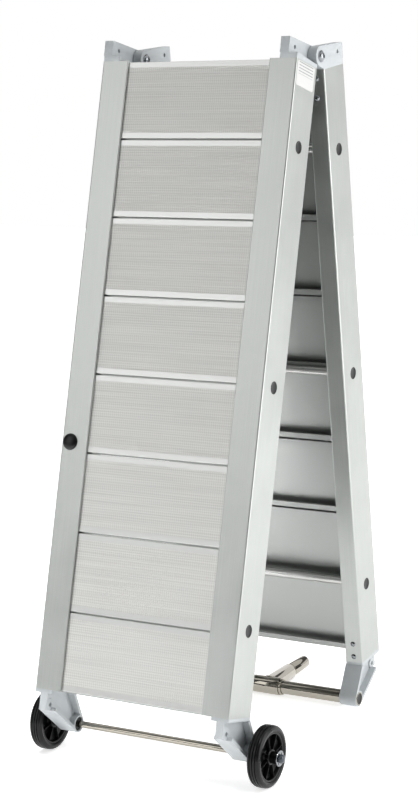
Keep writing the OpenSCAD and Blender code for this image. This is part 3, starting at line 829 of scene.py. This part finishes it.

# %% [markdown]
# ## Lock nuts
#
# A nyloc nut has a hexagon with chamfered corners and a round collar over its nylon ring. It
# starts as a six-sided cylinder. Its outer face is bevelled, and a turned collar is joined to it.

# %% Lock nuts
NUT_ACROSS, NUT_HEX = 18.4 * MM, 5.6 * MM
nuts = []
for x in (-HALF_WIDTH, DECK_HALF):
    ops.object.select_all(action="DESELECT")
    ops.mesh.primitive_cylinder_add(vertices=6, radius=NUT_ACROSS / 2, depth=NUT_HEX,
                                    location=(-NUT_HEX / 2, 0, 0), rotation=(0, -pi / 2, 0))
    nut = bpy.context.object
    ops.object.transform_apply(location=True, rotation=True, scale=True)
    ops.object.mode_set(mode="EDIT")
    pick(nut, "FACE", lambda at, face: face.normal.x < -0.9)
    ops.mesh.bevel(offset=0.9 * MM, segments=2)
    ops.object.mode_set(mode="OBJECT")
    collar = turned("collar", [(0.0, -NUT_HEX / MM + 0.2), (7.6, -NUT_HEX / MM + 0.2),
                    (7.4, -7.2), (6.6, -8.0), (5.4, -7.8), (5.1, -7.0), (0.0, -7.0)], 36)
    only(nut)
    collar.select_set(True)
    ops.object.join()
    settle(nut, FRONT @ Matrix.Translation((x, PIVOT_DEPTH, PIVOT_RISE)))
    nuts.append(nut)
only(nuts[0])
nuts[1].select_set(True)
ops.object.join()
nuts[0].name = nuts[0].data.name = "lock_nuts"
stands_for(nuts[0], "hinge_nuts")

# %% [markdown]
# ## Weld bead
#
# The swivel's branch is welded to its sleeve with a bead that follows the saddle where two
# round tubes meet. A curve through the saddle's points, given a round section, is turned
# to a mesh. Small ripples in its thickness show the welder's steps.

# %% Weld bead
SLEEVE_R, BRANCH_R, BEAD_R = 16.5 * MM, 16.2 * MM, 1.3 * MM
COUNT, RIPPLES = 144, 36
GROUND_FLAT = 0.2 * MM               # the bead is ground flat where the sleeve rests
curve = bpy.data.curves.new("weld_bead", "CURVE")
curve.dimensions = "3D"
curve.bevel_depth = BEAD_R
curve.bevel_resolution = 3
line = curve.splines.new("POLY")
line.points.add(COUNT - 1)
line.use_cyclic_u = True
for i, point in enumerate(line.points):
    turn = 2 * pi * i / COUNT
    x, z = BRANCH_R * cos(turn), BRANCH_R * sin(turn)
    y = sqrt(max(SLEEVE_R ** 2 - z ** 2, 0.0))
    point.co = (x, y, z, 1)
    point.radius = 0.9 + 0.14 * cos(RIPPLES * turn)
bead = bpy.data.objects.new("weld_bead", curve)
bpy.context.scene.collection.objects.link(bead)
only(bead)
ops.object.convert(target="MESH")
bead = bpy.context.object
settle(bead, Matrix.Translation(TUBE), smooth=50)
ops.object.mode_set(mode="EDIT")
ops.mesh.select_all(action="SELECT")
ops.mesh.bisect(plane_co=(0, 0, GROUND_FLAT), plane_no=(0, 0, 1), use_fill=True, clear_inner=True)
ops.object.mode_set(mode="OBJECT")
wear(bead, METALS["polished_stainless"])
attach(bead, "swivel")
print("weld bead:", len(bead.data.polygons), "faces")

# %% [markdown]
# ## Studio
#
# The gangway stands on a floor that glows by itself, painted light standing in for an opal
# acrylic table lit from below: a little, and more away from the floor's middle, so that
# shadows stay faint and the ground reads as one plain pale sheet. White paper would do, but
# its shadows would need more light from above, and metal shows that.

# %% Floor
FLOOR_END, FLOOR_SIZE = 7.5, 24      # metres; it ends under the light behind
GLOW_NEAR, GLOW_FAR = (1.2, 0.22), (2.8, 0.62)     # distance from the middle, and strength
FLOOR_WITH_PAINTED_GLOW, tree, shader = start("opal_acrylic_table", "#FAFAFA", 0, 0.9,
                            **{"Emission Color": (1, 1, 1, 1)})
place = add(tree, "ShaderNodeTexCoord").outputs["Object"]
fibre = add(tree, "ShaderNodeTexNoise", {"Vector": place, "Scale": 3.0, "Detail": 2.0})
colour = add(tree, "ShaderNodeValToRGB", {"Fac": fibre.outputs["Fac"]})
colour.color_ramp.elements[0].color = linear("#F8F8F8")
colour.color_ramp.elements[1].color = linear("#FBFBFB")
tree.links.new(colour.outputs["Color"], shader.inputs["Base Color"])
# The floor's emission is painted light: weaker near the floor's middle, stronger further out.
away = add(tree, "ShaderNodeVectorMath", {0: place}, operation="LENGTH")
glow = add(tree, "ShaderNodeMapRange", {"Value": away.outputs["Value"], "From Min": GLOW_NEAR[0],
           "From Max": GLOW_FAR[0], "To Min": GLOW_NEAR[1], "To Max": GLOW_FAR[1]},
           interpolation_type="SMOOTHSTEP")
tree.links.new(glow.outputs["Result"], shader.inputs["Emission Strength"])
ops.object.select_all(action="DESELECT")
ops.mesh.primitive_plane_add(size=FLOOR_SIZE, location=(0, FLOOR_END - FLOOR_SIZE / 2, 0))
floor = bpy.context.object
floor.name = floor.data.name = "floor"
wear(floor, FLOOR_WITH_PAINTED_GLOW)
print("floor:", FLOOR_SIZE, "m square, back edge at", FLOOR_END)

# %% [markdown]
# ## Lights
#
# Area lights make the long soft reflections that metal needs. One in front has a narrow
# spread and points straight down: it lights the ground without showing in the rails. The
# world is white where the camera sees it and dim for everything else, so the background
# is clean while the shadows inside the frame keep their depth.

# %% Lights
STUDIO_GREY = 0.12                   # light from the room all round
world = bpy.data.worlds.new("studio")
bpy.context.scene.world = world
world.use_nodes = True
tree = world.node_tree
tree.nodes.clear()
seen = add(tree, "ShaderNodeLightPath").outputs["Is Camera Ray"]
level = add(tree, "ShaderNodeMapRange", {"Value": seen, "To Min": STUDIO_GREY, "To Max": 1.0})
room = add(tree, "ShaderNodeBackground", {"Color": (1, 1, 1, 1), "Strength": level.outputs["Result"]})
add(tree, "ShaderNodeOutputWorld", {"Surface": room.outputs["Background"]})
for name, at, aim, wide, tall, watts, spread in (
    ("softbox_front_left", (-2.4, -3.7, 2.6), (0, 0, 0.9), 2.8, 2.8, 40, 180),
    ("softbox_front_floor", (-0.7, -1.7, 3.2), (-0.7, -1.7, 0), 1.6, 1.2, 38, 50),
    ("softbox_right", (3.3, 0.6, 1.4), (0, 0, 0.6), 3.0, 3.0, 98, 180),
    ("softbox_above", (0.0, 3.2, 4.5), (0, 3.2, 0), 9.0, 9.0, 225, 180),
    ("softbox_behind", (-2.0, 7.5, 1.2), (-2.0, 0, 1.2), 16.0, 2.4, 120, 180),
):
    data = bpy.data.lights.new(name, "AREA")
    data.shape, data.size, data.size_y = "RECTANGLE", wide, tall
    data.energy, data.spread = watts, radians(spread)
    lamp = bpy.data.objects.new(name, data)
    lamp.location = at
    lamp.rotation_euler = (Vector(aim) - Vector(at)).to_track_quat("-Z", "Y").to_euler()
    bpy.context.scene.collection.objects.link(lamp)
    print(name, watts, "W,", wide, "by", tall, "m")
bpy.context.scene.view_settings.view_transform = "Standard"
